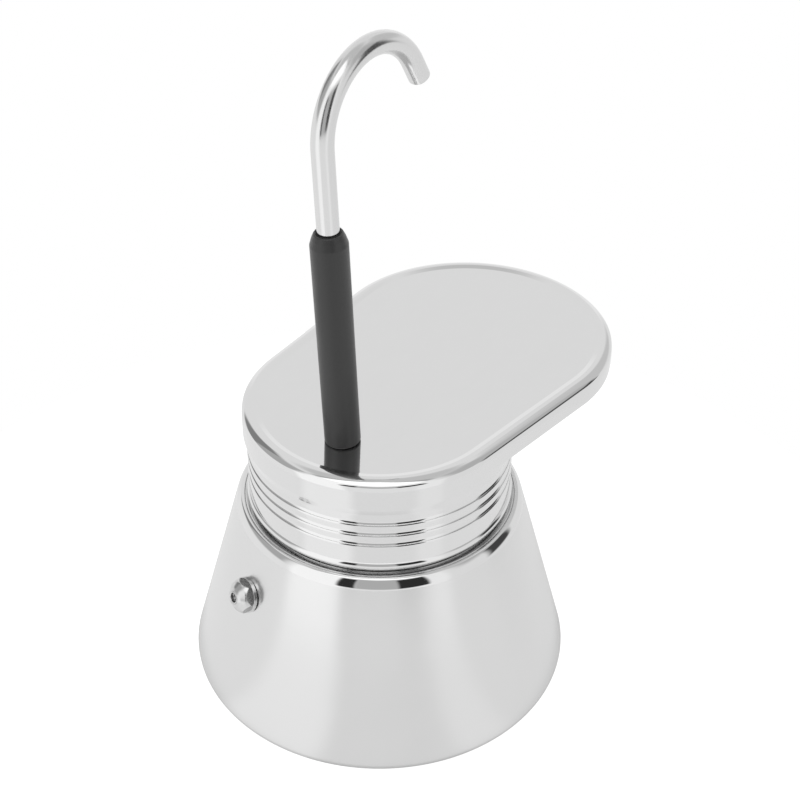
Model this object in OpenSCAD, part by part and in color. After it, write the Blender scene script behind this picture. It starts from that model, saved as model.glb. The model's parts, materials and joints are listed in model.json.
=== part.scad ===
// Stove-top espresso maker of the camping kind: conical boiler, funnel basket,
// screw-on head with an egg-shaped cup platform, and a bent spout over it.
// Origin: centre of the base, on the surface it stands on. +Z is up, and +X
// points along the platform's overhang.

/* [Boiler] */
// Outer diameter of the boiler at its base
base_d = 84; // [82:0.5:86]
// Height of the rolled lip's crest
boiler_h = 43.7; // [43:0.1:45]
// Diameter over the top of the cone, just below the lip
cone_top_d = 61.8; // [61:0.1:62.5]
// Sheet thickness of the boiler
shell_t = 0.8; // [0.6:0.1:1]
// Thickness of the base plate that the boiler stands on
base_t = 2.4; // [2:0.1:3]
// Radius of the foot's outer corner
foot_r = 1.5; // [1:0.1:2]

/* [Neck] */
// Outer diameter of the threaded neck
neck_d = 50.4; // [50:0.1:50.6]
// Bore of the neck, which the basket hangs in
neck_bore_d = 46.8; // [46.4:0.1:47.2]
// Height of the neck above the boiler's ledge
neck_h = 9.5; // [9:0.1:10]

/* [Basket] */
// Outer diameter of the basket's cup
cup_d = 45.2; // [44:0.1:45.8]
// Depth of the cup
cup_depth = 14.4; // [12:0.2:18]
// Sheet thickness of the basket
basket_t = 0.6; // [0.5:0.1:0.8]
// Outer diameter of the funnel's stem
stem_d = 6.6; // [6:0.1:8]
// Gap between the stem's end and the boiler's floor
stem_gap = 3.6; // [3:0.1:6]

/* [Perforations] */
// Diameter of the holes in the screen and in the filter plate
hole_d = 1.3; // [1:0.1:1.6]
// Number of rings of holes around the centre hole
hole_rings = 5; // [3:1:5]
// Distance from one ring of holes to the next
hole_pitch = 3.7; // [3.4:0.1:3.8]

/* [Head] */
// Outer diameter of the collar
collar_d = 56; // [55.6:0.1:56.4]
// Diameter over the bead at the collar's foot
bead_d = 56.9; // [56.6:0.1:57.2]
// Rounding of the bead
bead_roll = 1.1; // [1:0.1:1.3]
// Depth of each of the collar's three grooves
groove_depth = 0.5; // [0.3:0.1:0.6]
// Width of each groove
groove_w = 1.65; // [1.4:0.05:1.9]
// Distance from one groove to the next
groove_pitch = 2.65; // [2.5:0.05:2.8]
// Thickness of the gasket
gasket_t = 2.4; // [2:0.1:2.6]

/* [Platform] */
// Height of the platform's rim above the surface the pot stands on
platform_z = 66.9; // [66:0.1:68]
// Height of the platform's skirt, rim to lower edge
skirt_h = 5.3; // [5:0.1:5.6]
// Diameter of the end that sits on the collar
near_d = 57.2; // [57:0.1:57.6]
// Diameter of the overhanging end
far_d = 62.2; // [60:0.1:66]
// Distance between the centres of the two ends
reach = 32.7; // [30:0.1:36]
// Rounding of the rim
rim_r = 1.3; // [1:0.1:1.6]
// Width of the raised border inside the rim
border_w = 3; // [2.5:0.1:4]
// Depth of the flat inside the border
recess = 0.4; // [0.2:0.1:0.5]
// Sheet thickness of the platform
platform_t = 0.9; // [0.8:0.1:1]

/* [Spout] */
// Outer diameter of the spout tube
tube_d = 4.25; // [4:0.05:4.4]
// Bore of the spout tube
tube_bore = 3.4; // [3:0.1:3.5]
// Place of the tube on the platform along X
spout_x = -15.3; // [-16:0.1:-14]
// Place of the tube on the platform along Y
spout_y = -2.7; // [-4:0.1:0]
// Lean of the tube away from the overhang, in degrees
lean_back = 2; // [0:0.05:5]
// Lean of the tube towards +Y, in degrees
lean_side = 1.35; // [0:0.05:3]
// Turn of the bend's plane from +X, in degrees
bend_turn = 1.2; // [-5:0.1:5]
// Length of the straight tube above the platform
rise = 63; // [58:0.1:70]
// Radius of the bend at the tube's centre line
bend_r = 14.3; // [12:0.1:16]
// Angle that the bend turns through, in degrees
sweep = 151.3; // [140:0.1:180]
// Length of the straight tube past the bend
outlet_l = 4; // [2:0.1:8]
// Outer diameter of the grip sleeve
sleeve_d = 7.25; // [7:0.05:8]
// Length of the grip sleeve
sleeve_l = 47.5; // [40:0.5:52]
// Length of the taper at the sleeve's top
sleeve_taper = 2.8; // [2:0.1:3.5]

/* [Safety valve] */
// Height of the valve on the cone
valve_z = 30.2; // [28:0.1:32]
// Direction of the valve round the boiler, in degrees from +X
valve_turn = 163.8; // [150:0.1:170]
// Diameter of the valve's flange
flange_d = 8; // [7.9:0.1:8.6]
// Width across the flats of the valve's hexagon
valve_flats = 6.8; // [6:0.1:7]
// Diameter of the stem that passes through the boiler's wall
valve_stem_d = 3.8; // [3.6:0.1:4]
// Diameter of the ball
ball_d = 2.4; // [2.2:0.1:2.5]

/* [Hidden] */
$fn = 96;

// Clearances: pieces that come apart, threads, and holes for a fixed piece
lift_gap = 0.2;
thread_gap = 0.3;
hole_gap = 0.05;
// Overrun of a cutting shape past the face it cuts
cut = 1;

// Boiler levels, from the base plate up
base_r = base_d / 2;
foot_recess = 0.3;
floor_z = base_t + shell_t;
ledge_z = boiler_h - 0.15;
lip_r = 0.75;
lip_face_r = 3.5;
lip_turn = 43;
cone_top_z = boiler_h - 1.7;
cone_top_r = cone_top_d / 2;
// Centre of the foot's corner. The cone's side runs tangent to it, up to the lip.
foot_c = [base_r - foot_r, foot_recess + foot_r];
side = [cone_top_r, cone_top_z] - foot_c;
cone_tilt = atan2(side[1], side[0]) - acos(foot_r / norm(side));
plate_r = base_r - foot_r - 0.25;

// Neck levels
neck_r = neck_d / 2;
neck_top = ledge_z + neck_h;
neck_flange_r = neck_r + 2.2;
neck_flange_t = 1;

// Basket levels, from its flange down
flange_z = neck_top + lift_gap;
cup_r = cup_d / 2;
cup_floor = flange_z + basket_t - cup_depth;
seat_w = 1.4;
funnel_h = 11;
funnel_z = cup_floor - funnel_h;
stem_end = floor_z + stem_gap;
stem_r = stem_d / 2;

// Head levels, from the gasket up
gasket_z = flange_z + basket_t + lift_gap;
gasket_bore_r = 20.6;
filter_z = gasket_z + gasket_t + 0.15;
filter_t = 0.5;
pan_z = filter_z + filter_t + 0.15;
pan_h = 3.7;
pan_t = 0.8;
collar_r = collar_d / 2;
collar_bore_r = collar_r - 1.4;
collar_seat = ledge_z + 0.15;
collar_foot = collar_seat + 0.5;
collar_top = platform_z - skirt_h;
groove_z = 51.42;
flare_h = 2.6;
thread_ring_z = collar_foot + 0.6;
thread_ring_top = neck_top - lift_gap;

// Platform levels
near_r = near_d / 2;
far_r = far_d / 2;
tangent = acos((near_r - far_r) / reach);
top_z = platform_z - recess;
ceiling_z = top_z - platform_t;
underside_t = 0.8;

// Spout frame: its origin is where the tube's axis meets the platform
tube_r = tube_d / 2;
boss_r = 3.6;
seal_r = 3.2;
seal_t = 0.7;
tube_tail = 7.4;
sleeve_r = sleeve_d / 2;
sleeve_lift = sleeve_r * sin(norm([lean_back, lean_side])) + 0.02;
sleeve_mouth_r = 2.35;
// The straight outlet overlaps the bend and is this much thicker on both sides
outlet_lap = 0.3;
outlet_step = 0.01;

// Valve frame: its origin is on the cone, and its Z points straight out
valve_r = cone_top_r + (cone_top_z - valve_z) * tan(cone_tilt) + 0.01;
valve_seal_t = 0.25;
valve_seal_r = 3.5;
valve_flange_t = 0.55;
hex_z = valve_seal_t + valve_flange_t;
hex_h = 1.7;
hex_chamfer = 0.7;
nose_z = 3.6;
nose_r = 1.55;
dome_r = 1;
inlet_r = 0.8;
seat_z = 0.1;
ball_r = ball_d / 2;
chamber_r = ball_r + 0.15;
ball_z = seat_z + sqrt(ball_r * ball_r - inlet_r * inlet_r) + 0.03;
cap_t = 0.4;
vent_r = 1.05;
nut_z = -shell_t - 0.4;
nut_h = 1.8;
nut_flats = 6;
valve_tail = 3.8;
spring_r = 0.9;
spring_wire = 0.24;
spring_turns = 3.5;
spring_foot = ball_z + 1.05;
spring_top = nose_z - cap_t - spring_wire / 2 - 0.05;

// Points of an arc from angle a0 to a1 in n steps
function arc(c, r, a0, a1, n) =
    [for (i = [0:n]) c + r * [cos(a0 + (a1 - a0) * i / n), sin(a0 + (a1 - a0) * i / n)]];

// Egg-shaped outline of the platform, grown by d: the far end, then the near end
function egg(d, n = 36) = concat(
    arc([reach, 0], far_r + d, -tangent, tangent, n),
    arc([0, 0], near_r + d, tangent, 360 - tangent, n));

// Ring of points at height z
function level(outline, z) = [for (p = outline) [p[0], p[1], z]];

// Side faces between consecutive rings of n points each
function sides(n, rings) = [for (k = [0:rings - 2], i = [0:n - 1])
    [k * n + i, k * n + (i + 1) % n, (k + 1) * n + (i + 1) % n, (k + 1) * n + i]];

// Closed body through rings of n points, capped at both ends
module loft(rings) {
    n = len(rings[0]);
    count = len(rings);
    floor_face = [for (i = [0:n - 1]) n - 1 - i];
    roof_face = [for (i = [0:n - 1]) (count - 1) * n + i];
    polyhedron([for (ring = rings) each ring],
        concat([floor_face], sides(n, count), [roof_face]), convexity = 6);
}

// Tube along Z between two heights
module tube(r_out, r_in, z0, z1) {
    rotate_extrude() translate([r_in, z0]) square([r_out - r_in, z1 - z0]);
}

module at_spout() {
    translate([spout_x, spout_y, top_z]) rotate([-lean_side, -lean_back, 0])
        rotate([0, 0, bend_turn]) children();
}

module at_valve() {
    rotate([0, 0, valve_turn]) translate([valve_r, 0, valve_z])
        rotate([0, 90 - cone_tilt, 0]) children();
}

// Straight cutter for the spout tube's holes, reaching from the pan to the platform
module tube_hole() {
    at_spout() translate([0, 0, -tube_tail - cut]) cylinder(r = tube_r + hole_gap, h = tube_tail + 2 * cut);
}

// Holes in concentric rings, six more in each ring than in the last
module perforations(z, t) {
    translate([0, 0, z - cut]) {
        cylinder(d = hole_d, h = t + 2 * cut, $fn = 24);
        for (ring = [1:hole_rings], i = [1:6 * ring])
            rotate([0, 0, 60 * i / ring]) translate([ring * hole_pitch, 0, 0])
                cylinder(d = hole_d, h = t + 2 * cut, $fn = 24);
    }
}

module boiler_shell() {
    face_c = [cone_top_r, cone_top_z] - lip_face_r * [cos(cone_tilt), sin(cone_tilt)];
    lip_c = face_c + (lip_face_r - lip_r) * [cos(lip_turn), sin(lip_turn)];
    inner = shell_t / cos(cone_tilt);
    ledge_under = ledge_z - shell_t;
    wall_under = cone_top_r - inner + (cone_top_z - ledge_under) * tan(cone_tilt);
    wall_floor = cone_top_r - inner + (cone_top_z - floor_z) * tan(cone_tilt);
    color("silver") difference() {
        rotate_extrude() polygon(concat(
            [[0, base_t], [plate_r, base_t], [plate_r, foot_recess]],
            arc(foot_c, foot_r, -90, cone_tilt, 6),
            arc(face_c, lip_face_r, cone_tilt, lip_turn, 4),
            arc(lip_c, lip_r, lip_turn + 10, 130, 6),
            [[lip_c[0] - lip_r, ledge_z], [neck_r + hole_gap, ledge_z], [neck_r + hole_gap, ledge_under],
             [wall_under, ledge_under], [wall_floor, floor_z], [0, floor_z]]));
        at_valve() translate([0, 0, -2 * shell_t - cut])
            cylinder(d = valve_stem_d + 2 * hole_gap, h = 2 * shell_t + 2 * cut);
    }
}

module boiler_base() {
    edge = 0.4;
    r = plate_r - hole_gap;
    color("gainsboro") rotate_extrude()
        polygon([[0, 0], [r - edge, 0], [r, edge], [r, base_t], [0, base_t]]);
}

module neck_ring() {
    z0 = ledge_z - shell_t - neck_flange_t;
    color("silver") rotate_extrude() polygon([
        [neck_bore_d / 2, z0], [neck_flange_r, z0], [neck_flange_r, z0 + neck_flange_t],
        [neck_r, z0 + neck_flange_t], [neck_r, neck_top - 0.4], [neck_r - 0.4, neck_top],
        [neck_bore_d / 2, neck_top]]);
}

module valve_body() {
    flange_z0 = valve_seal_t;
    hex_top = hex_z + hex_h;
    color("silver") at_valve() difference() {
        union() {
            translate([0, 0, -valve_tail]) cylinder(d = valve_stem_d, h = valve_tail + hex_z);
            translate([0, 0, flange_z0]) cylinder(d = flange_d, h = valve_flange_t);
            intersection() {
                translate([0, 0, hex_z]) cylinder(d = valve_flats / cos(30), h = hex_h, $fn = 6);
                translate([0, 0, hex_top - hex_chamfer])
                    cylinder(r1 = valve_flats / 2 + 2 * hex_chamfer, r2 = valve_flats / 2 - hex_chamfer / 2,
                        h = hex_chamfer);
            }
            translate([0, 0, hex_z]) cylinder(d = valve_flats / cos(30), h = hex_h - hex_chamfer, $fn = 6);
            rotate_extrude() polygon(concat([[0, hex_top - 0.1], [nose_r + dome_r + 0.3, hex_top - 0.1],
                [nose_r + dome_r, hex_top]], arc([nose_r, nose_z - dome_r], dome_r, 0, 90, 6),
                [[0, nose_z]]));
        }
        translate([0, 0, -valve_tail - cut]) cylinder(r = inlet_r, h = valve_tail + seat_z + 2 * cut);
        translate([0, 0, seat_z]) cylinder(r = chamber_r, h = nose_z);
    }
}

module valve_seal() {
    color("dimgray") at_valve() tube(valve_seal_r, valve_stem_d / 2 + hole_gap, 0, valve_seal_t);
}

module valve_nut() {
    color("silver") at_valve() translate([0, 0, nut_z - nut_h]) difference() {
        cylinder(d = nut_flats / cos(30), h = nut_h, $fn = 6);
        translate([0, 0, -cut]) cylinder(d = valve_stem_d + 2 * hole_gap, h = nut_h + 2 * cut);
    }
}

module valve_ball() {
    color("gainsboro") at_valve() translate([0, 0, ball_z]) sphere(r = ball_r);
}

// Coil spring: a round wire swept along a helix
module valve_spring() {
    ring_count = 72;
    wire_sides = 8;
    coil = [for (k = [0:ring_count]) let (a = 360 * spring_turns * k / ring_count,
        z = spring_foot + (spring_top - spring_foot) * k / ring_count)
        [for (j = [0:wire_sides - 1]) let (b = 360 * j / wire_sides,
            r = spring_r + spring_wire / 2 * cos(b))
            [r * cos(a), r * sin(a), z - spring_wire / 2 * sin(b)]]];
    color("lightgray") at_valve() loft(coil);
}

module valve_cap() {
    color("gray") at_valve() tube(chamber_r, vent_r, nose_z - cap_t, nose_z);
}

module basket_cup() {
    flange_r = neck_r - 0.4;
    seat_r = cup_r - seat_w;
    color("silver") rotate_extrude() polygon([
        [seat_r, cup_floor], [cup_r, cup_floor], [cup_r, flange_z], [flange_r, flange_z],
        [flange_r, flange_z + basket_t], [cup_r - basket_t, flange_z + basket_t],
        [cup_r - basket_t, cup_floor + basket_t], [seat_r, cup_floor + basket_t]]);
}

module basket_screen() {
    screen_z = cup_floor + basket_t;
    color("lightgray") difference() {
        translate([0, 0, screen_z]) cylinder(r = cup_r - basket_t - hole_gap, h = 0.5);
        perforations(screen_z, 0.5);
    }
}

module basket_funnel() {
    rim_r0 = cup_r - 0.2;
    color("silver") rotate_extrude() polygon([
        [stem_r, funnel_z], [stem_r + basket_t, funnel_z], [rim_r0, cup_floor - 1],
        [rim_r0, cup_floor], [rim_r0 - basket_t, cup_floor], [rim_r0 - basket_t, cup_floor - 0.8],
        [stem_r, funnel_z + 0.6]]);
}

module basket_stem() {
    color("silver") tube(stem_r, stem_r - basket_t, stem_end, funnel_z + 0.5);
}

module gasket() {
    round_r = 0.4;
    r = neck_r;
    z1 = gasket_z + gasket_t;
    color("whitesmoke") rotate_extrude() polygon(concat(
        [[gasket_bore_r, gasket_z]],
        arc([r - round_r, gasket_z + round_r], round_r, -90, 0, 4),
        arc([r - round_r, z1 - round_r], round_r, 0, 90, 4),
        [[gasket_bore_r, z1]]));
}

module filter_plate() {
    color("lightgray") difference() {
        translate([0, 0, filter_z]) cylinder(r = collar_bore_r - 0.4, h = filter_t);
        perforations(filter_z, filter_t);
    }
}

module collar() {
    bead_c = [bead_d / 2 - bead_roll, collar_foot + bead_roll];
    bead_end = acos((collar_r - bead_c[0]) / bead_roll);
    color("silver") difference() {
        rotate_extrude() polygon(concat(
            [[collar_bore_r, collar_seat], [bead_c[0], collar_seat]],
            arc(bead_c, bead_roll, -90, bead_end, 8),
            [[collar_r, collar_top - flare_h - 0.4],
             [collar_r + (near_r - collar_r) * 0.3, collar_top - flare_h * 0.6],
             [near_r - 0.1, collar_top - flare_h * 0.2],
             [near_r, collar_top], [collar_bore_r, collar_top]]));
        for (i = [0:2]) rotate_extrude()
            translate([collar_r - groove_depth, groove_z + i * groove_pitch - groove_w / 2])
                polygon([[0, 0.25], [1, -0.25], [1, groove_w + 0.2], [0, groove_w - 0.2]]);
    }
}

module thread_ring() {
    color("silver") tube(collar_bore_r, neck_r + thread_gap, thread_ring_z, thread_ring_top);
}

module brew_pan() {
    step_r = collar_bore_r - 2;
    roof_r = step_r - 3;
    pan_top = pan_z + pan_h;
    color("silver") difference() {
        rotate_extrude() polygon([
            [step_r, pan_z], [collar_bore_r, pan_z], [collar_bore_r, pan_z + pan_t],
            [step_r + 0.4, pan_z + pan_t], [roof_r + 0.4, pan_top], [0, pan_top],
            [0, pan_top - pan_t], [roof_r, pan_top - pan_t]]);
        tube_hole();
    }
}

// Lid with a rounded rim and a skirt, recessed inside its border
module platform_top() {
    steps = 6;
    rounding = [for (i = [0:steps]) let (a = 90 * i / steps)
        level(egg(rim_r * (cos(a) - 1)), platform_z - rim_r + rim_r * sin(a))];
    color("gainsboro") difference() {
        loft(concat([level(egg(0), collar_top)], rounding));
        translate([0, 0, collar_top - cut]) linear_extrude(ceiling_z - collar_top + cut)
            polygon(egg(-platform_t));
        translate([0, 0, top_z]) linear_extrude(recess + cut) polygon(egg(-border_w));
        tube_hole();
    }
}

module platform_underside() {
    color("silver") difference() {
        translate([0, 0, collar_top]) linear_extrude(underside_t) polygon(egg(-platform_t - hole_gap));
        translate([0, 0, collar_top - cut]) cylinder(r = collar_bore_r - 0.6, h = underside_t + 2 * cut);
    }
}

// Slab between two heights, to trim leaning pieces level
module slab(z0, z1) {
    translate([spout_x - 10, spout_y - 10, z0]) cube([20, 20, z1 - z0]);
}

module spout_boss() {
    color("silver") difference() {
        intersection() {
            at_spout() translate([0, 0, -tube_tail]) cylinder(r = boss_r, h = tube_tail);
            slab(pan_z + pan_h, ceiling_z - seal_t);
        }
        tube_hole();
    }
}

module spout_seal() {
    color("dimgray") difference() {
        intersection() {
            at_spout() translate([0, 0, -tube_tail]) cylinder(r = seal_r, h = tube_tail);
            slab(ceiling_z - seal_t, ceiling_z);
        }
        tube_hole();
    }
}

module spout_tube() {
    wall = tube_r - tube_bore / 2;
    color("silver") at_spout() {
        tube(tube_r, tube_bore / 2, -tube_tail, rise);
        translate([bend_r, 0, rise]) rotate([90, 0, 0]) mirror([1, 0, 0])
            rotate_extrude(angle = sweep) translate([bend_r, 0]) difference() {
                circle(r = tube_r);
                circle(r = tube_r - wall);
            }
        translate([bend_r * (1 - cos(sweep)), 0, rise + bend_r * sin(sweep)]) rotate([0, sweep, 0])
            tube(tube_r + outlet_step, tube_bore / 2 - outlet_step, -outlet_lap, outlet_l);
    }
}

module spout_sleeve() {
    edge = 0.35;
    bore_r = tube_r + hole_gap;
    color("#222222") at_spout() translate([0, 0, sleeve_lift]) rotate_extrude() polygon([
        [bore_r, 0], [sleeve_r - edge, 0], [sleeve_r, edge], [sleeve_r, sleeve_l - sleeve_taper],
        [sleeve_mouth_r + 0.15, sleeve_l], [sleeve_mouth_r, sleeve_l], [sleeve_mouth_r, sleeve_l - 1.5],
        [bore_r, sleeve_l - 1.8]]);
}

boiler_shell();
boiler_base();
neck_ring();
valve_body();
valve_seal();
valve_nut();
valve_ball();
valve_spring();
valve_cap();
basket_cup();
basket_screen();
basket_funnel();
basket_stem();
gasket();
filter_plate();
collar();
thread_ring();
brew_pan();
platform_top();
platform_underside();
spout_boss();
spout_seal();
spout_tube();
spout_sleeve();
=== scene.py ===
"""A camping espresso maker in a white studio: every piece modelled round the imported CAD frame."""

import json
import math

import bmesh
import bpy
from mathutils import Matrix, Vector


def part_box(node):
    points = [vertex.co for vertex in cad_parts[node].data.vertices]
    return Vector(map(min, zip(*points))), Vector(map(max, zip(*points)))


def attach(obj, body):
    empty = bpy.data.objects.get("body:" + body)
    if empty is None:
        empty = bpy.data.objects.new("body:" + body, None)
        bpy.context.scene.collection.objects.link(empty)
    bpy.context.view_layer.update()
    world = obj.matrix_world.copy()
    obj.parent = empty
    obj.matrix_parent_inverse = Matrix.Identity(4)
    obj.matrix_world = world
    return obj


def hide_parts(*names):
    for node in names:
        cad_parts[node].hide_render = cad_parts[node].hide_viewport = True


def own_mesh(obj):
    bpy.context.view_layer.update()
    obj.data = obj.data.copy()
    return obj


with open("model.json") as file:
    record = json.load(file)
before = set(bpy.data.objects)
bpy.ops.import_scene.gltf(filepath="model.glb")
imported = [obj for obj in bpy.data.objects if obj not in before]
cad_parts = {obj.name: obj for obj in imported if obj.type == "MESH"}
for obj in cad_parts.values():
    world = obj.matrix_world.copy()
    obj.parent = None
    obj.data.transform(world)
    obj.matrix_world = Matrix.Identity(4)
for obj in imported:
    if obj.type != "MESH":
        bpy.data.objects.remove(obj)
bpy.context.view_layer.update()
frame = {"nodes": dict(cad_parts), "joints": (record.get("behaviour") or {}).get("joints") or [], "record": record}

MM = 0.001
SEGMENTS = 256
SHARP = math.radians(35)
# Gap left between faces that touch in the CAD
HAIR = 0.01

record = frame["record"]
body_of = {n: body for body, names in record["behaviour"]["bodies"].items() for n in names}


def low(node):
    """Lowest corner of a CAD node, in millimetres."""
    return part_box(node)[0] / MM


def high(node):
    """Highest corner of a CAD node, in millimetres."""
    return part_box(node)[1] / MM


# ---------------------------------------------------------------------------
# Outlines: lists of (radius, height) in millimetres


def rounded(corners, steps=5, support=0.06):
    """Closed outline through corners (r, z, fillet), with arcs and a supporting point beside each arc."""
    outline = []
    count = len(corners)
    for i, (r, z, fillet) in enumerate(corners):
        here = Vector((r, z))
        before = Vector(corners[i - 1][:2]) - here
        after = Vector(corners[(i + 1) % count][:2]) - here
        if fillet <= 0:
            outline.append(here)
            continue
        turn = before.angle(after)
        reach = fillet / math.tan(turn / 2)
        first = here + before.normalized() * reach
        last = here + after.normalized() * reach
        inward = (before.normalized() + after.normalized()).normalized()
        centre = here + inward * fillet / math.sin(turn / 2)
        if before.length > reach + 2 * support:
            outline.append(first + before.normalized() * support)
        sweep = (first - centre).angle_signed(last - centre)
        for k in range(steps + 1):
            ray = (first - centre).copy()
            ray.rotate(Matrix.Rotation(-sweep * k / steps, 2))
            outline.append(centre + ray)
        if after.length > reach + 2 * support:
            outline.append(last + after.normalized() * support)
    return outline


def spoke(angle):
    """Unit vector at an angle in degrees, counted from outward to up."""
    return Vector((math.cos(math.radians(angle)), math.sin(math.radians(angle))))


def arc(centre, radius, start, end, steps=12):
    """Corners along an arc, for use inside an outline."""
    points = [Vector(centre) + radius * spoke(start + (end - start) * k / steps) for k in range(steps + 1)]
    return [(*p, 0) for p in points]


def divided(outline, longest):
    """Outline with no stretch longer than longest."""
    result = []
    for i, here in enumerate(outline):
        ahead = outline[(i + 1) % len(outline)]
        parts = max(1, math.ceil((ahead - here).length / longest))
        result += [here.lerp(ahead, k / parts) for k in range(parts)]
    return result


# ---------------------------------------------------------------------------
# Meshes


def finish_mesh(name, bm, matrix=Matrix.Identity(4)):
    """Object of a bmesh in millimetres, smooth apart from its sharp edges."""
    bmesh.ops.recalc_face_normals(bm, faces=bm.faces)
    if bm.calc_volume(signed=True) < 0:
        bmesh.ops.reverse_faces(bm, faces=bm.faces)
    for face in bm.faces:
        face.smooth = True
    for edge in bm.edges:
        edge.smooth = len(edge.link_faces) == 2 and edge.calc_face_angle(0) < SHARP
    mesh = bpy.data.meshes.new(name)
    bm.transform(Matrix.Scale(MM, 4) @ matrix)
    bm.to_mesh(mesh)
    bm.free()
    piece = bpy.data.objects.new(name, mesh)
    bpy.context.scene.collection.objects.link(piece)
    return piece


def skin(name, rings, matrix=Matrix.Identity(4)):
    """Closed surface through rings of points that run round a loop. A ring of one point is a pole."""
    bm = bmesh.new()
    loops = [[bm.verts.new(p) for p in ring] for ring in rings]
    for k, ring in enumerate(loops):
        ahead = loops[(k + 1) % len(loops)]
        size = max(len(ring), len(ahead))
        if size == 1:
            continue
        for i in range(size):
            corners = [ring[i % len(ring)], ring[(i + 1) % len(ring)],
                       ahead[(i + 1) % len(ahead)], ahead[i % len(ahead)]]
            bm.faces.new(list(dict.fromkeys(corners)))
    return finish_mesh(name, bm, matrix)


def lathe(name, outline, matrix=Matrix.Identity(4), segments=SEGMENTS, ripple=None):
    """Solid of revolution. ripple(r, z, angle) may move a point to another radius."""
    rings = []
    for r, z in outline:
        if r < 1e-6:
            rings.append([(0, 0, z)])
            continue
        ring = []
        for i in range(segments):
            a = math.tau * i / segments
            size = ripple(r, z, a) if ripple else r
            ring.append((size * math.cos(a), size * math.sin(a), z))
        rings.append(ring)
    return skin(name, rings, matrix)


# ---------------------------------------------------------------------------
# Boiler

SHEET = 0.8
LEDGE_DROP = 0.14
shell_r = high("boiler_shell").x
foot_z = low("boiler_shell").z
lip_z = high("boiler_shell").z
plate_r = high("boiler_base").x
plate_t = high("boiler_base").z
neck_r = 25.2
neck_flange_r = high("neck_ring").x
neck_top = high("neck_ring").z
neck_bottom = low("neck_ring").z
neck_bore = 23.4
ledge_z = lip_z - LEDGE_DROP
FOOT_R = 1.5
CONE_TOP_R = 31.03
cone_top_z = lip_z - 2.15
foot_c = Vector((shell_r - FOOT_R, foot_z + FOOT_R))
side = Vector((CONE_TOP_R, cone_top_z)) - foot_c
cone_tilt = math.degrees(math.atan2(side.y, side.x) - math.acos(FOOT_R / side.length))
THREAD_PITCH = 3.0
THREAD_DEPTH = 0.6
THREAD_FADE = 1.2
# Where the polished lip ends and the ledge inside it, painted darker as shade, starts
LIP_INNER_R = 29.1


def boiler_shell():
    """Spun cone that turns over a soft shoulder into a rolled lip round a shallow ledge."""
    face_r, lip_r, lip_turn, lip_end = 4.6, 0.75, 43, 130
    face_c = Vector((CONE_TOP_R, cone_top_z)) - face_r * spoke(cone_tilt)
    lip_c = face_c + (face_r - lip_r) * spoke(lip_turn)
    under = ledge_z - SHEET
    floor = plate_t + SHEET
    inner_foot_r = shell_r - 1.2
    shoulder_r = 29.6
    plate_gap, plate_edge_gap = 2 * HAIR, 5 * HAIR
    return lathe("boiler_shell_skin", rounded([
        (0, plate_t + plate_gap, 0), (plate_r + plate_edge_gap, plate_t + plate_gap, 0),
        (plate_r + plate_edge_gap, foot_z, 0.15),
        *arc(foot_c, FOOT_R, -90, cone_tilt), *arc(face_c, face_r, cone_tilt, lip_turn),
        *arc(lip_c, lip_r, lip_turn + 8, lip_end), (lip_c.x - lip_r, ledge_z, 0.3), (neck_r, ledge_z, 0),
        (neck_r, under, 0), (shoulder_r, under, 0.5), (inner_foot_r, floor, 1.2), (0, floor, 0)]))


def boiler_base():
    """Base plate with a rounded edge and a shallow ring pressed into its underside."""
    ring_from, ring_to, ring_slope, ring_depth = 24, 27, 0.4, 0.15
    return lathe("boiler_base_skin", rounded([
        (0, 0, 0), (ring_from, 0, 0.2), (ring_from + ring_slope, ring_depth, 0.1),
        (ring_to - ring_slope, ring_depth, 0.1), (ring_to, 0, 0.2),
        (plate_r, 0, 0.4), (plate_r, plate_t, 0), (0, plate_t, 0)]))


def thread_height(z, angle, bottom, top):
    """Share of the full thread at this point: a rounded trapezoid along a helix, fading at both ends."""
    phase = ((z / THREAD_PITCH) - angle / math.tau) % 1
    ridge = 0.5 + 0.5 * math.cos(math.tau * phase)
    fade = min(1, (z - bottom) / THREAD_FADE, (top - z) / THREAD_FADE)
    return max(0, fade) * min(1, 1.6 * ridge)


def neck_ring():
    """Threaded neck, welded under the ledge."""
    bottom, top = ledge_z + 0.8, neck_top - 0.6
    under_ledge = ledge_z - SHEET - HAIR
    crest_r = neck_r - 2 * HAIR
    outline = divided(rounded([
        (neck_bore, neck_bottom, 0.1), (neck_flange_r, neck_bottom, 0.1), (neck_flange_r, under_ledge, 0),
        (crest_r, under_ledge, 0), (crest_r, neck_top, 0.3), (neck_bore, neck_top, 0.3)]), 0.15)

    def ripple(r, z, angle):
        if not (neck_r - 0.1 < r < neck_r and bottom < z < top):
            return r
        return r - THREAD_DEPTH * (1 - thread_height(z, angle, bottom, top))

    return lathe("neck_ring_skin", outline, ripple=ripple, segments=180)


# ---------------------------------------------------------------------------
# Safety valve, in a frame whose Z points straight out of the cone

valve_axis = Vector(next(j for j in frame["joints"] if j["name"] == "valve_open")["axis"]).normalized()
BALL_Z = 1.02
ball_centre = (low("valve_ball") + high("valve_ball")) / 2
valve_turn = valve_axis.to_track_quat("Z", "Y").to_matrix().to_4x4()
valve_frame = Matrix.Translation(ball_centre - valve_axis * BALL_Z) @ valve_turn
NOSE_Z = 3.6
SEAT_Z = 0.1
INLET_R = 0.8
CHAMBER_R = 1.35
STEM_R = 1.9
TAIL_Z = -3.8
HEX_FROM, HEX_TO = 0.8, 2.5
HEX_FLATS = 6.5
WIRE_R = 0.12
SPRING_TOP = NOSE_Z - 0.57


def hexagon(flats, z_from, z_to):
    """Cuts a turned piece down to a hexagon between two heights."""
    def ripple(r, z, angle):
        turn = angle % (math.pi / 3) - math.pi / 6
        return min(r, flats / 2 / math.cos(turn)) if r > flats / 2 and z_from < z < z_to else r
    return ripple


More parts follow.
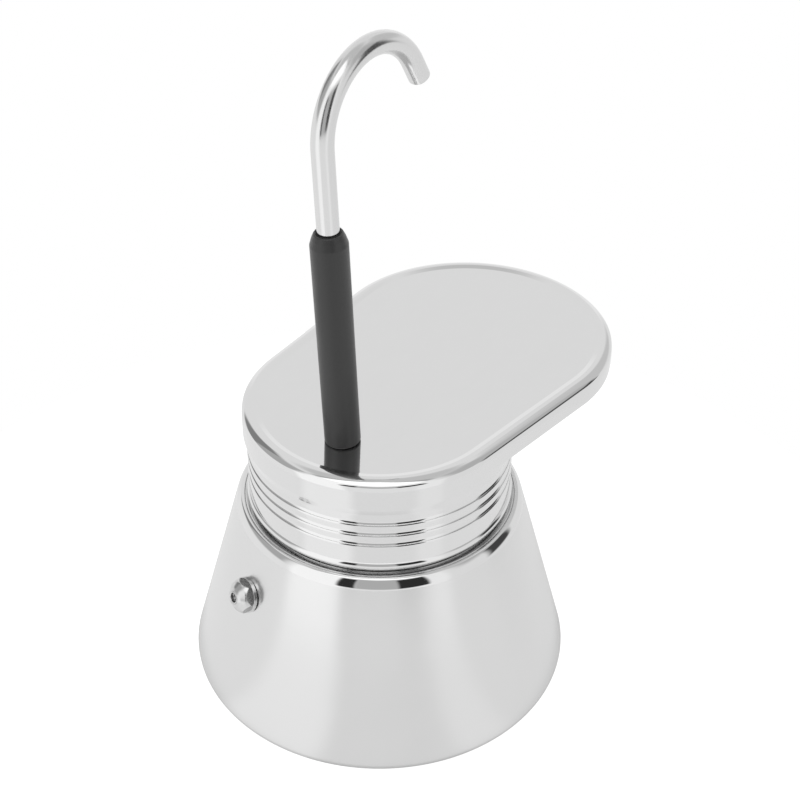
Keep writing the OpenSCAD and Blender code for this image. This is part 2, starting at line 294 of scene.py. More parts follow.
def valve_body():
    """Recessed flange, and a domed nose that runs down onto six flats, bored for the ball and the spring."""
    flange_z, flange_r = 0.03, 3.8
    recess_z, recess_r = 0.27, 3.35
    corner_r = 3.75
    return lathe("valve_body_skin", divided(rounded([
        (INLET_R, TAIL_Z, 0.1), (STEM_R, TAIL_Z, 0.25), (STEM_R, recess_z, 0), (recess_r, recess_z, 0),
        (recess_r, flange_z, 0.05), (flange_r, flange_z, 0.08),
        (flange_r, HEX_FROM, 0.15), (corner_r, HEX_FROM + 0.02, 0), (corner_r, 1.5, 0.3), (3.2, 2.4, 1.5),
        (2.1, NOSE_Z - 0.35, 1.5), (CHAMBER_R, NOSE_Z, 0.15), (CHAMBER_R, SEAT_Z, 0),
        (INLET_R, SEAT_Z, 0.08)]), 0.08), valve_frame, 192, hexagon(HEX_FLATS, HEX_FROM + 0.01, HEX_TO))


def valve_seal():
    """Washer in the recess of the flange."""
    bore_r, r, thickness = 1.95, 3.3, 0.25
    return lathe("valve_seal_skin", rounded([
        (bore_r, 0, 0.05), (r, 0, 0.08), (r, thickness, 0.08), (bore_r, thickness, 0.05)]), valve_frame, 128)


def valve_nut():
    """Chamfered hexagon nut on the stem, inside the boiler."""
    top, bottom, flats = -1.2, -3.0, 6.0
    bore_r, face_r, corner_r, chamfer = 1.95, 2.95, 3.5, 0.3
    return lathe("valve_nut_skin", divided(rounded([
        (bore_r, bottom, 0), (face_r, bottom, 0), (corner_r, bottom + chamfer, 0),
        (corner_r, top - chamfer, 0), (face_r, top, 0), (bore_r, top, 0)]), 0.1),
        valve_frame, 192, hexagon(flats, bottom - 0.1, top + 0.1))


def valve_ball():
    """Ball that closes the inlet."""
    radius = (high("valve_ball").z - low("valve_ball").z) / 2
    steps = 48
    angles = [math.pi * k / steps for k in range(steps + 1)]
    outline = [Vector((max(0, radius * math.sin(a)), BALL_Z - radius * math.cos(a))) for a in angles]
    outline[0].x = outline[-1].x = 0
    return lathe("valve_ball_skin", outline, valve_frame, 96)


def valve_spring():
    """Open coil of round wire."""
    coil_r, turns = 0.9, 3.5
    over_ball = 1.05
    bottom, top = BALL_Z + over_ball, SPRING_TOP
    steps, sides = 220, 12
    around = [math.tau * j / sides for j in range(sides)]
    rings = []
    for k in range(steps + 1):
        a = math.tau * turns * k / steps
        z = bottom + (top - bottom) * k / steps
        wire = [(coil_r + WIRE_R * math.cos(b), z + WIRE_R * math.sin(b)) for b in around]
        rings.append([(r * math.cos(a), r * math.sin(a), height) for r, height in wire])
    ends = [[tuple(sum(c) / sides for c in zip(*rings[k]))] for k in (0, -1)]
    return skin("valve_spring_skin", [ends[0], *rings, ends[1]], valve_frame)


def valve_cap():
    """Ring in the mouth of the nose, with the vent through it."""
    vent_r = 1.05
    bottom, top = NOSE_Z - 0.4, NOSE_Z - 0.05
    return lathe("valve_cap_skin", rounded([
        (vent_r, bottom, 0.05), (CHAMBER_R, bottom, 0), (CHAMBER_R, top, 0.05), (vent_r, top, 0.1)]),
        valve_frame, 96)


# ---------------------------------------------------------------------------
# Basket

THIN = 0.6
cup_floor = low("basket_cup").z
rim_top = high("basket_cup").z
cup_flange_r = high("basket_cup").x
CUP_R = 22.6
SEAT_R = 21.2
funnel_z = low("basket_funnel").z
funnel_r = high("basket_funnel").x
stem_end = low("basket_stem").z
STEM_TUBE_R = 3.3


def basket_cup():
    """Straight cup with a rolled flange and a seat for its screen."""
    flange = rim_top - THIN
    return lathe("basket_cup_skin", rounded([
        (SEAT_R, cup_floor, 0.2), (CUP_R, cup_floor, 0.5), (CUP_R, flange, 0.3), (cup_flange_r, flange, 0.25),
        (cup_flange_r, rim_top, 0.25), (CUP_R - THIN, rim_top, 0.6), (CUP_R - THIN, cup_floor + THIN, 0.2),
        (SEAT_R, cup_floor + THIN, 0.1)]))


def basket_funnel():
    """Cone under the cup that runs down into the stem."""
    neck = STEM_TUBE_R + THIN
    return lathe("basket_funnel_skin", rounded([
        (STEM_TUBE_R, funnel_z, 0), (neck, funnel_z, 0.1), (neck, funnel_z + 0.8, 1.5),
        (funnel_r, cup_floor - 1.4, 0.8), (funnel_r, cup_floor, 0.1), (funnel_r - THIN, cup_floor, 0.1),
        (funnel_r - THIN, cup_floor - 1.0, 0.6), (STEM_TUBE_R + 2 * HAIR, funnel_z + 1.2, 0.8)]))


def basket_stem():
    """Tube that takes the water up, with a flared lower end."""
    top = funnel_z + 0.5
    return lathe("basket_stem_skin", rounded([
        (STEM_TUBE_R - THIN, stem_end, 0.15), (STEM_TUBE_R, stem_end, 0.15),
        (STEM_TUBE_R, top, 0.1), (STEM_TUBE_R - THIN, top, 0.1)]), segments=96)


def gasket():
    """Silicone ring with a thin lip on its inner edge."""
    r = high("gasket").x
    z0, z1 = low("gasket").z, high("gasket").z
    inner = 20.6
    return lathe("gasket_skin", rounded([
        (inner, z0 + 0.9, 0.25), (inner + 1.2, z0 + 0.7, 0.3), (inner + 1.6, z0, 0.3), (r, z0, 0.4),
        (r, z1, 0.4), (inner, z1, 0.25)]))


# ---------------------------------------------------------------------------
# Head

collar_seat = low("collar").z
collar_top = high("collar").z
collar_top_r = high("collar").x
COLLAR_R = 28.0
COLLAR_BORE = 26.6
BEAD_ROLL = 1.1
BEAD_R = 28.45
GROOVES = 3
GROOVE_Z = 51.42
GROOVE_PITCH = 2.65
GROOVE_W = 1.65
GROOVE_DEPTH = 0.5


def groove(z):
    """Rolled groove round height z, with a soft lower shoulder and a crisp upper edge."""
    start, end = z - GROOVE_W / 2, z + GROOVE_W / 2
    bottom = COLLAR_R - GROOVE_DEPTH
    return [(COLLAR_R, start - 0.1, 0.5), (bottom, start + 0.32, 0.8),
            (bottom, end - 0.2, 0.06), (COLLAR_R, end, 0.03)]


def collar():
    """Polished ring with a bead over its seat, three grooves, and a flare that meets the platform."""
    bead_c = (BEAD_R - BEAD_ROLL, collar_seat + 0.5 + BEAD_ROLL)
    bead_end = math.degrees(math.acos((COLLAR_R - bead_c[0]) / BEAD_ROLL))
    grooves = [corner for i in range(GROOVES) for corner in groove(GROOVE_Z + i * GROOVE_PITCH)]
    return lathe("collar_skin", rounded([
        (COLLAR_BORE, collar_seat, 0.1), (bead_c[0], collar_seat, 0),
        *arc(bead_c, BEAD_ROLL, -90, bead_end, 16), *grooves,
        (COLLAR_R, collar_top - 3.2, 3.0), (collar_top_r, collar_top - 1.2, 2.0),
        (collar_top_r, collar_top, 0), (COLLAR_BORE, collar_top, 0)], steps=6))


def thread_ring():
    """Ring with the female thread, inside the collar."""
    bottom, top = low("thread_ring").z, high("thread_ring").z
    thread_gap, plain_end = 0.3, 0.4
    bore = neck_r + thread_gap
    outer_r = COLLAR_BORE - HAIR
    outline = divided(rounded([
        (bore, bottom, 0.15), (outer_r, bottom, 0.1), (outer_r, top, 0.1), (bore, top, 0.15)]), 0.15)

    def ripple(r, z, angle):
        if r > bore + 0.1 or not bottom + plain_end < z < top - plain_end:
            return r
        return r + THREAD_DEPTH * thread_height(z, angle, bottom + plain_end, top - plain_end)

    return lathe("thread_ring_skin", outline, ripple=ripple, segments=180)


def brew_pan():
    """Shallow inverted pan over the filter plate."""
    z0, z1 = low("brew_pan").z, high("brew_pan").z
    step_r = COLLAR_BORE - 2
    roof_r = step_r - 3
    outer_r = COLLAR_BORE - HAIR
    return lathe("brew_pan_skin", rounded([
        (0, z1 - SHEET, 0), (roof_r, z1 - SHEET, 0.8), (step_r, z0, 0.3), (outer_r, z0, 0.1),
        (outer_r, z0 + SHEET, 0.1), (step_r + 0.5, z0 + SHEET, 0.6), (roof_r + 0.5, z1, 0.8), (0, z1, 0)]))


# ---------------------------------------------------------------------------
# Platform: an egg-shaped outline, shifted inward by an inset

platform_far_r = high("platform_top").y
platform_near_r = -low("platform_top").x
reach = high("platform_top").x - platform_far_r
rim_z = high("platform_top").z
# Height of the flat inside the platform's border
flat_z = rim_z - 0.4
skirt_z = low("platform_top").z
TANGENT = math.acos((platform_near_r - platform_far_r) / reach)
END_STEPS = 96
SIDE_STEPS = 12


def egg(inset, z):
    """Ring of points on the outline, evenly spread over the two ends and the two sides."""
    far_angles = [TANGENT * (2 * k / END_STEPS - 1) for k in range(END_STEPS + 1)]
    near_angles = [TANGENT + (math.tau - 2 * TANGENT) * k / END_STEPS for k in range(END_STEPS + 1)]
    far_r, near_r = platform_far_r - inset, platform_near_r - inset
    far = [Vector((reach + far_r * math.cos(a), far_r * math.sin(a), z)) for a in far_angles]
    near = [Vector((near_r * math.cos(a), near_r * math.sin(a), z)) for a in near_angles]
    ring = []
    for end, ahead in ((far, near), (near, far)):
        ring += end
        ring += [end[-1].lerp(ahead[0], k / SIDE_STEPS) for k in range(1, SIDE_STEPS)]
    return ring


def egg_plate(name, outline):
    """Closed plate from an outline of (inset, z). Its two flats are filled in the middle."""
    rings = [egg(inset, z) for inset, z in outline]
    middle = [(reach / 2, 0, outline[-1][1])], [(reach / 2, 0, outline[0][1])]
    return skin(name, [*rings, *middle])


# Arcs of the platform's edge, from the skirt up: (radius, slope that the arc ends at, in degrees)
RIM_ARCS = [(6.0, 12), (0.6, 42), (2.65, 90)]


def rim(steps=8):
    """Edge of the platform as (inset, height): the skirt leans in, turns over, and eases into the top."""
    inset, height = 0, 0
    start = 0
    points = [(inset, height)]
    for radius, end in RIM_ARCS:
        foot = (inset, height)
        for k in range(1, steps + 1):
            here = spoke(start + (end - start) * k / steps)
            inset = foot[0] + radius * (spoke(start).x - here.x)
            height = foot[1] + radius * (here.y - spoke(start).y)
            points.append((inset, height))
        start = end
    return [(i, rim_z - height + h, 0) for i, h in points]


def platform_top():
    """Mirror-polished lid: skirt, rounded rim, raised border and a flat inside it."""
    sheet = 0.9
    ceiling = flat_z - sheet
    border_from, border_to, middle = 2.5, 3.75, 20
    return egg_plate("platform_top_skin", rounded([
        (middle, ceiling, 0), (1.2, ceiling, 0.5), (sheet, skirt_z, 0), (0, skirt_z, 0),
        *rim(), (border_from, rim_z, 0.9), (border_to, flat_z, 0.9), (middle, flat_z, 0)], steps=6)[1:])


def platform_underside():
    """Plate that closes the overhang, with a hole over the collar."""
    z0, z1 = low("platform_underside").z, high("platform_underside").z
    inset = 0.95
    hole_r = COLLAR_BORE - 0.6

    def hole(z):
        return [hole_r * Vector((p.x, p.y, 0)).normalized() + Vector((0, 0, z)) for p in egg(inset, z)]

    rings = [hole(z0), egg(inset + 0.15, z0), egg(inset, z0 + 0.1), egg(inset, z1), hole(z1)]
    return skin("platform_underside_skin", rings)


# ---------------------------------------------------------------------------
# Spout, in a frame whose Z runs up the straight tube

SPOUT_X = -15.3
SPOUT_Y = -2.7
LEAN_BACK = math.radians(2)
LEAN_SIDE = math.radians(1.35)
BEND_TURN = math.radians(1.2)
spout_frame = (Matrix.Translation((SPOUT_X, SPOUT_Y, flat_z)) @ Matrix.Rotation(-LEAN_BACK, 4, "Y")
               @ Matrix.Rotation(-LEAN_SIDE, 4, "X") @ Matrix.Rotation(BEND_TURN, 4, "Z"))
TUBE_R = 2.125
BORE_R = 1.7
# Bore of the pieces that fit round the tube
FIT_R = TUBE_R + 0.05
TAIL = 7.4
RISE = 63.0
BEND_R = 14.3
SWEEP = math.radians(151.3)
OUTLET_L = 4.0


def along_spout(s, u, v):
    """Point of the tube at length s from the platform, offset u inward of the bend and v sideways."""
    if s <= RISE:
        return (u, v, s)
    a = min((s - RISE) / BEND_R, SWEEP)
    beyond = s - RISE - SWEEP * BEND_R
    radius = BEND_R - u
    x, z = BEND_R - radius * math.cos(a), RISE + radius * math.sin(a)
    if beyond > 0:
        x += beyond * math.sin(a)
        z += beyond * math.cos(a)
    return (x, v, z)


def spout_tube():
    """Drawn tube bent over the platform, its end cut square and deburred."""
    end = RISE + SWEEP * BEND_R + OUTLET_L
    outline = divided(rounded([
        (BORE_R, -TAIL, 0.08), (TUBE_R, -TAIL, 0.08), (TUBE_R, end, 0.12), (BORE_R, end, 0.1)]), 0.8)
    sides = 64
    around = [math.tau * k / sides for k in range(sides)]
    rings = [[along_spout(s, r * math.cos(a), r * math.sin(a)) for a in around] for r, s in outline]
    return skin("spout_tube_skin", rings, spout_frame)


def spout_sleeve():
    """Black grip with a crowned, tapered top and a small gap round the tube."""
    lift = 0.17
    top = lift + 47.5
    taper = 2.8
    r = 3.625
    mouth = 2.35
    return lathe("spout_sleeve_skin", rounded([
        (FIT_R, lift, 0), (r, lift, 0.3), (r, top - taper, 1.5), (r - 0.45, top - taper / 2, 1.2),
        (mouth + 0.15, top, 0.35), (mouth, top - 0.3, 0.1), (mouth, top - 1.6, 0.1), (FIT_R, top - 1.9, 0)]),
        spout_frame, 128)


def spout_boss():
    """Boss that holds the tube between the brew pan and the platform."""
    r, end_gap = 3.6, 0.2
    bottom = low("spout_boss").z - flat_z + end_gap
    top = high("spout_boss").z - flat_z - end_gap
    return lathe("spout_boss_skin", rounded([
        (FIT_R, bottom, 0), (r, bottom, 0.4), (r, top, 0.2), (FIT_R, top, 0)]), spout_frame, 96)


def spout_seal():
    """Washer under the platform, round the tube."""
    r = 3.2
    bottom, top = low("spout_seal").z - flat_z, high("spout_seal").z - flat_z
    return lathe("spout_seal_skin", rounded([
        (FIT_R, bottom, 0), (r, bottom, 0.15), (r, top, 0.15), (FIT_R, top, 0)]), spout_frame, 96)


# ---------------------------------------------------------------------------
# Materials


def add(tree, kind, inputs=None, **settings):
    """Adds a node: inputs are values or sockets to link, settings are the node's own."""
    node = tree.nodes.new(kind)
    for key, value in settings.items():
        setattr(node, key, value)
    for key, value in (inputs or {}).items():
        if isinstance(value, bpy.types.NodeSocket):
            tree.links.new(value, node.inputs[key])
        else:
            node.inputs[key].default_value = value
    return node


def grey(value, alpha=1.0):
    return (value, value, value, alpha)


def surface(name, **values):
    """Material with a Principled shader; values name its sockets, spaces as underscores."""
    material = bpy.data.materials.new(name)
    material.use_nodes = True
    tree = material.node_tree
    tree.nodes.clear()
    shader = add(tree, "ShaderNodeBsdfPrincipled")
    output = add(tree, "ShaderNodeOutputMaterial")
    tree.links.new(shader.outputs[0], output.inputs[0])
    for key, value in values.items():
        shader.inputs[key.replace("_", " ")].default_value = value
    return material, tree, shader


def stretched(tree, scale):
    """Object coordinates scaled along each axis."""
    place = add(tree, "ShaderNodeTexCoord")
    return add(tree, "ShaderNodeMapping", {"Vector": place.outputs["Object"], "Scale": scale}).outputs[0]


def noise(tree, vector, scale, detail=3.0, roughness=0.55):
    return add(tree, "ShaderNodeTexNoise", {"Vector": vector, "Scale": scale, "Detail": detail,
                                            "Roughness": roughness}).outputs["Fac"]


def ranged(tree, value, low_out, high_out, low_in=0.3, high_in=0.7):
    return add(tree, "ShaderNodeMapRange", {"Value": value, "From Min": low_in, "From Max": high_in,
                                            "To Min": low_out, "To Max": high_out}).outputs[0]


def bump(tree, shader, height, strength, distance):
    node = add(tree, "ShaderNodeBump", {"Height": height, "Strength": strength, "Distance": distance})
    tree.links.new(node.outputs[0], shader.inputs["Normal"])


def tinted(tree, shader, value, dark, light):
    """Base colour between two greys, by a texture value."""
    mix = add(tree, "ShaderNodeMix", {"Factor": value}, data_type="RGBA")
    sockets = [s for s in mix.inputs if s.type == "RGBA"]
    sockets[0].default_value, sockets[1].default_value = grey(dark), grey(light)
    tree.links.new(next(s for s in mix.outputs if s.type == "RGBA"), shader.inputs["Base Color"])


def satin_steel():
    """Spun sheet, finely brushed round the axis, so that reflections smear up and down."""
    material, tree, shader = surface("satin_steel", Metallic=1.0, Anisotropic=0.6, Anisotropic_Rotation=0.25)
    tangent = add(tree, "ShaderNodeTangent", direction_type="RADIAL", axis="Z")
    tree.links.new(tangent.outputs[0], shader.inputs["Tangent"])
    cloud = noise(tree, stretched(tree, (1, 1, 1)), 90, 2)
    grain = noise(tree, stretched(tree, (1, 1, 1)), 7000, 2, 0.7)
    tinted(tree, shader, grain, 0.795, 0.815)
    tree.links.new(ranged(tree, cloud, 0.2, 0.23), shader.inputs["Roughness"])
    bump(tree, shader, grain, 0.03, 0.00002)
    return material


def polished_steel():
    """Mirror polish with the faint waviness and wipe marks of pressed sheet."""
    material, tree, shader = surface("polished_steel", Metallic=1.0)
    smear = noise(tree, stretched(tree, (1, 2.5, 1)), 160, 4)
    tinted(tree, shader, smear, 0.81, 0.825)
    tree.links.new(ranged(tree, smear, 0.045, 0.06), shader.inputs["Roughness"])
    bump(tree, shader, noise(tree, stretched(tree, (1, 1, 1)), 45, 1), 0.02, 0.0001)
    return material


def tube_steel():
    """Drawn tube: fine scratches along its length."""
    material, tree, shader = surface("tube_steel", Metallic=1.0)
    drawn = noise(tree, stretched(tree, (1, 1, 0.04)), 3000, 3)
    tinted(tree, shader, drawn, 0.765, 0.8)
    tree.links.new(ranged(tree, drawn, 0.17, 0.2), shader.inputs["Roughness"])
    bump(tree, shader, drawn, 0.05, 0.00002)
    return material


def inner_steel():
    """Bright pressed sheet inside the pot."""
    material, tree, shader = surface("inner_steel", Metallic=1.0)
    marks = noise(tree, stretched(tree, (1, 1, 3)), 700, 2)
    tinted(tree, shader, marks, 0.72, 0.78)
    tree.links.new(ranged(tree, marks, 0.2, 0.3), shader.inputs["Roughness"])
    bump(tree, shader, marks, 0.06, 0.00003)
    return material


def base_steel():
    """Turned underside: fine concentric rings."""
    material, tree, shader = surface("base_steel", Metallic=1.0)
    place = stretched(tree, (1, 1, 0))
    rings = add(tree, "ShaderNodeTexWave",
                {"Vector": place, "Scale": 700.0, "Distortion": 0.4, "Detail": 2.0},
                wave_type="RINGS", rings_direction="SPHERICAL").outputs["Fac"]
    tinted(tree, shader, rings, 0.72, 0.77)
    tree.links.new(ranged(tree, rings, 0.26, 0.34, 0, 1), shader.inputs["Roughness"])
    bump(tree, shader, rings, 0.25, 0.00003)
    return material


def valve_metal():
    """Plated, lightly worn turned metal."""
    material, tree, shader = surface("valve_metal", Metallic=1.0)
    wear = noise(tree, stretched(tree, (1, 1, 1)), 1500, 4)
    tinted(tree, shader, wear, 0.66, 0.74)
    tree.links.new(ranged(tree, wear, 0.16, 0.28), shader.inputs["Roughness"])
    bump(tree, shader, wear, 0.08, 0.00004)
    return material


def spring_steel():
    """Bright wire and ball."""
    material, tree, shader = surface("spring_steel", Metallic=1.0)
    marks = noise(tree, stretched(tree, (1, 1, 1)), 4000, 3)
    tinted(tree, shader, marks, 0.6, 0.7)
    tree.links.new(ranged(tree, marks, 0.12, 0.22), shader.inputs["Roughness"])
    return material


def rubber(name, dark, light, roughness, grain_scale, depth, sheen=0.0):
    """Moulded rubber or silicone with a fine grain."""
    material, tree, shader = surface(name, Metallic=0.0, Sheen_Weight=sheen, Sheen_Roughness=0.5)
    grain = noise(tree, stretched(tree, (1, 1, 1)), grain_scale, 3, 0.6)
    cloud = noise(tree, stretched(tree, (1, 1, 1)), 180, 3)
    tinted(tree, shader, cloud, dark, light)
    tree.links.new(ranged(tree, cloud, roughness - 0.05, roughness + 0.05), shader.inputs["Roughness"])
    bump(tree, shader, grain, 0.35, depth)
    return material


POLISHED = polished_steel()
SATIN = satin_steel()
TUBE = tube_steel()
INNER = inner_steel()
BASE = base_steel()
VALVE = valve_metal()
SPRING = spring_steel()
GRIP = rubber("grip_rubber", 0.02, 0.03, 0.42, 2600, 0.00004, 0.15)
SEAL = rubber("seal_silicone", 0.3, 0.36, 0.5, 1800, 0.00003)
GASKET = rubber("gasket_silicone", 0.78, 0.84, 0.4, 900, 0.00003)

# ---------------------------------------------------------------------------
# Pieces: each stands for the CAD node of the same name

PIECES = [
    (boiler_shell, SATIN), (boiler_base, BASE), (neck_ring, INNER),
    (valve_body, VALVE), (valve_seal, SEAL), (valve_nut, VALVE), (valve_ball, SPRING),
    (valve_spring, SPRING), (valve_cap, VALVE),
    (basket_cup, INNER), (basket_funnel, INNER), (basket_stem, INNER), (gasket, GASKET),
    (collar, POLISHED), (thread_ring, INNER), (brew_pan, INNER), (platform_top, POLISHED),
    (platform_underside, INNER), (spout_boss, INNER), (spout_seal, SEAL), (spout_tube, TUBE),
    (spout_sleeve, GRIP)]

for make, material in PIECES:
    node = make.__name__
    piece = make()
    piece.data.materials.append(material)
    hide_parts(node)
    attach(piece, body_of[node])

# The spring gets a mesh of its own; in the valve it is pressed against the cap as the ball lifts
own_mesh(bpy.data.objects["valve_spring_skin"])

for node in ("basket_screen", "filter_plate"):
    plate = frame["nodes"][node]
    for slot in plate.material_slots:
        slot.material = INNER


def seam_steel():
    """Steel in the narrow seam under the bead, its base colour darkened as painted shade."""
    material, tree, shader = surface("seam_steel", Metallic=1.0)
    film = noise(tree, stretched(tree, (1, 1, 1)), 700, 3)
    # Greys of 0.5 to 0.6 paint the shade in the gap under the bead
    tinted(tree, shader, film, 0.5, 0.6)
    tree.links.new(ranged(tree, film, 0.12, 0.2), shader.inputs["Roughness"])
    return material


def flat_metal():
    """Flats of the valve's hexagon, left as the drawn bar."""
    material, tree, shader = surface("flat_metal", Metallic=1.0)
    drawn = noise(tree, stretched(tree, (1, 1, 1)), 2500, 3)
    tinted(tree, shader, drawn, 0.38, 0.46)
    tree.links.new(ranged(tree, drawn, 0.2, 0.3), shader.inputs["Roughness"])
    return material


def finish_shell():
    """The boiler's lip is polished, the ledge inside it gets darker steel as painted shade, and the cone below is
    satin.
    """
    shell = bpy.data.objects["boiler_shell_skin"].data
    for material in (POLISHED, INNER, seam_steel()):
        shell.materials.append(material)
    polished, inner, seam = 1, 2, 3
    for face in shell.polygons:
        r = Vector(face.center[:2]).length / MM
        z = face.center.z / MM
        # Ledge faces take the seam steel: painted shade under the bead
        if z > ledge_z - 2 * HAIR and r < LIP_INNER_R:
            face.material_index = seam
        elif z > cone_top_z and r > LIP_INNER_R:
            face.material_index = polished
        elif face.normal.x * face.center.x + face.normal.y * face.center.y < 0 and r > plate_r * 0.6:
            face.material_index = inner


def finish_valve():
    """The flats of the hexagon are darker than the turned dome."""
    body = bpy.data.objects["valve_body_skin"].data
    body.materials.append(flat_metal())
    for face in body.polygons:
        offset = valve_frame.inverted() @ (face.center / MM)
        upright = abs(face.normal.dot(valve_axis)) < 0.2
        outer = Vector(offset[:2]).length > HEX_FLATS / 2 - 0.25
        if upright and outer and HEX_FROM < offset.z < HEX_TO:
            face.material_index = 1


finish_shell()
finish_valve()

# ---------------------------------------------------------------------------
# Studio

CAMERA_AZIMUTH = math.radians(-51.8)
CAMERA_PITCH = math.radians(35.67)
CAMERA_DISTANCE = 0.29867
AIM_HEIGHT = 0.06627
LENS = 64.92
SHIFT_X = 0.0255


def toward(azimuth, elevation):
    """Unit vector from the pot, azimuth counted as in the camera's."""
    return Vector((math.sin(azimuth) * math.cos(elevation), -math.cos(azimuth) * math.cos(elevation),
                   math.sin(elevation)))


def make_camera():
    """Camera at the angle and distance fitted to the photograph."""
    data = bpy.data.cameras.new("camera")
    data.lens = LENS
    data.sensor_width = 36.0
    data.shift_x = SHIFT_X
    data.clip_start = 0.01
    camera = bpy.data.objects.new("camera", data)
    back = toward(CAMERA_AZIMUTH, CAMERA_PITCH)
    camera.location = Vector((0, 0, AIM_HEIGHT)) + back * CAMERA_DISTANCE
    camera.rotation_mode = "QUATERNION"
    camera.rotation_quaternion = (-back).to_track_quat("-Z", "Y")
    bpy.context.scene.collection.objects.link(camera)
    bpy.context.scene.camera = camera


def math_node(tree, operation, *values):
    """Output of a Math node on numbers or sockets."""
    node = tree.nodes.new("ShaderNodeMath")
    node.operation = operation
    for i, value in enumerate(values):
        if isinstance(value, bpy.types.NodeSocket):
            tree.links.new(value, node.inputs[i])
        else:
            node.inputs[i].default_value = value
    return node.outputs[0]


def band(tree, value, start, end, soft):
    """1 between start and end, falling to 0 over a soft edge."""
    ramps = []
    for edge, before, after in ((start, 0.0, 1.0), (end, 1.0, 0.0)):
        ramps.append(add(tree, "ShaderNodeMapRange",
                         {"Value": value, "From Min": edge - soft, "From Max": edge + soft,
                          "To Min": before, "To Max": after}, interpolation_type="SMOOTHSTEP").outputs[0])
    return math_node(tree, "MULTIPLY", *ramps)


def studio_azimuth(tree, vector):
    """Azimuth of a direction or a place, in degrees from the camera's own azimuth, and its height."""
    spin = add(tree, "ShaderNodeMapping", {"Vector": vector, "Rotation": (0, 0, -CAMERA_AZIMUTH)})
    x, y, z = add(tree, "ShaderNodeSeparateXYZ", {0: spin.outputs[0]}).outputs
    turn = math_node(tree, "ARCTAN2", x, math_node(tree, "MULTIPLY", y, -1.0))
    return math_node(tree, "DEGREES", turn), z


FLOOR_R = 0.13
FLOOR_LIGHT = 0.73
GLOW_SHARE = 0.8
# Light at the foot as a share of the light beyond, and the distances in metres between which it recovers
CONTACT = 0.55
CONTACT_FROM, CONTACT_TO = 0.041, 0.047
PAPER_GREY = 0.9
PAPER_WHITE = 1.25
# Pools of light on the paper: (azimuth from, to, soft edge, light), in degrees from the camera's direction
POOLS = [(-140, -58, 8, 0.79), (-58, -20, 5, 0.9), (27, 48, 5, 0.81), (48, 140, 8, 0.745)]


def make_floor():
    """White paper with soft pools of light, and the shade of the foot close to it."""
    bpy.ops.mesh.primitive_circle_add(vertices=128, radius=FLOOR_R, fill_type="NGON", location=(0, 0, 0))
    floor = bpy.context.object
    floor.name = "floor"
    material = bpy.data.materials.new("floor")
    material.use_nodes = True
    tree = material.node_tree
    tree.nodes.clear()
    place = add(tree, "ShaderNodeNewGeometry").outputs["Position"]
    distance = add(tree, "ShaderNodeVectorMath", {0: place}, operation="LENGTH").outputs["Value"]
    light = FLOOR_LIGHT
    for az0, az1, soft, pool in POOLS:
        mask = band(tree, studio_azimuth(tree, place)[0], az0, az1, soft)
        light = add(tree, "ShaderNodeMapRange", {"Value": mask, "To Min": light, "To Max": pool}).outputs[0]
    contact = ranged(tree, distance, CONTACT, 1.0, CONTACT_FROM, CONTACT_TO)
    light = math_node(tree, "MULTIPLY", light, contact)
    paper = add(tree, "ShaderNodeBsdfDiffuse", {"Color": grey(PAPER_GREY)})
    glow = add(tree, "ShaderNodeEmission", {"Color": grey(1.0), "Strength": light})
    mirrored = add(tree, "ShaderNodeMixShader", {0: GLOW_SHARE, 1: paper.outputs[0], 2: glow.outputs[0]})
    white = add(tree, "ShaderNodeEmission", {"Color": grey(1.0), "Strength": PAPER_WHITE})
    seen = add(tree, "ShaderNodeMixShader", {0: GLOW_SHARE, 1: paper.outputs[0], 2: white.outputs[0]})
    path = add(tree, "ShaderNodeLightPath")
    mix = add(tree, "ShaderNodeMixShader",
              {0: path.outputs["Is Camera Ray"], 1: mirrored.outputs[0], 2: seen.outputs[0]})
    add(tree, "ShaderNodeOutputMaterial", {"Surface": mix.outputs[0]})
    floor.data.materials.append(material)


def make_sun():
    """Light from straight above that brightens the floor without marking the metal."""
    data = bpy.data.lights.new("overhead", "SUN")
    data.energy = 1.9
    data.angle = math.radians(30)
    sun = bpy.data.objects.new("overhead", data)
    sun.visible_glossy = False
    bpy.context.scene.collection.objects.link(sun)


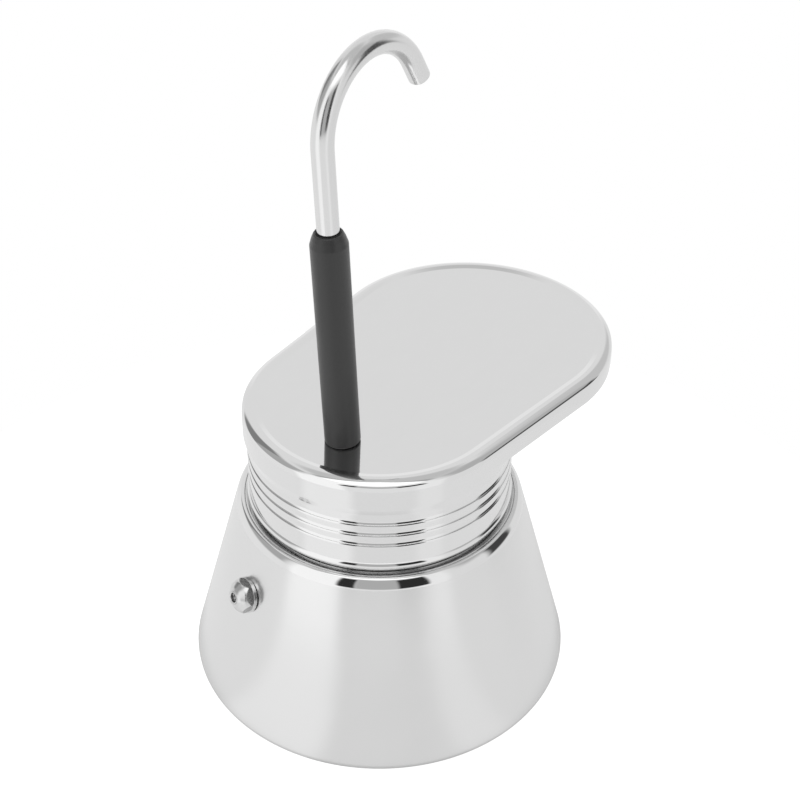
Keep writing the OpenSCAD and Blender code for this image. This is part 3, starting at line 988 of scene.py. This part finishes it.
# Studio as the metal sees it: (azimuth from, to, elevation from, to, soft edge, light), in degrees from the
# camera's direction and from the horizon. A later patch covers an earlier one.
TENT = 0.83
PATCHES = [
    (-140, -62, -40, 8, 8, 0.89),
    (-27, 28, -40, -4, 3, 0.87),
    (-66, -27, -40, 52, 4, 1.1),
    (28, 50, -40, 52, 4, 0.96),
    (62, 150, -40, 0, 8, 0.82),
    (-30, -17, -4, 42, 2, 0.03),
    (-17, 13, -4, 46, 2, 0.48),
    (13, 35, -4, 42, 2, 0.03),
    (62, 112, 24, 60, 9, 0.5),
    (84, 108, -8, 26, 4, 0.06),
    (108, 150, 10, 50, 6, 0.62),
    (-108, -72, 8, 50, 4, 0.45),
    (-135, -108, 8, 50, 4, 0.25),
    (155, 190, -30, 20, 4, 0.92),
    (-190, -155, -30, 20, 4, 0.92),
    (-190, 190, 60, 100, 5, 0.6),
    (-76, 60, 54, 100, 5, 0.42),
    (-62, 46, 52, 100, 3, 1.35),
]


def make_world():
    """A white tent with the bright panels and dark flats of PATCHES."""
    world = bpy.data.worlds.new("studio")
    bpy.context.scene.world = world
    world.use_nodes = True
    tree = world.node_tree
    tree.nodes.clear()
    azimuth, z = studio_azimuth(tree, add(tree, "ShaderNodeTexCoord").outputs["Generated"])
    elevation = math_node(tree, "DEGREES", math_node(tree, "ARCSINE", z))
    total = TENT
    for az0, az1, el0, el1, soft, light in PATCHES:
        across = band(tree, azimuth, az0, az1, soft)
        upright = band(tree, elevation, el0, el1, soft)
        mask = math_node(tree, "MULTIPLY", across, upright)
        total = add(tree, "ShaderNodeMapRange", {"Value": mask, "To Min": total, "To Max": light}).outputs[0]
    studio = add(tree, "ShaderNodeBackground", {"Color": grey(1.0), "Strength": total})
    plain = add(tree, "ShaderNodeBackground", {"Color": grey(1.0), "Strength": 1.0})
    path = add(tree, "ShaderNodeLightPath")
    mix = add(tree, "ShaderNodeMixShader",
              {0: path.outputs["Is Camera Ray"], 1: studio.outputs[0], 2: plain.outputs[0]})
    add(tree, "ShaderNodeOutputWorld", {"Surface": mix.outputs[0]})


make_camera()
make_floor()
make_sun()
make_world()
bpy.context.scene.view_settings.view_transform = "Standard"
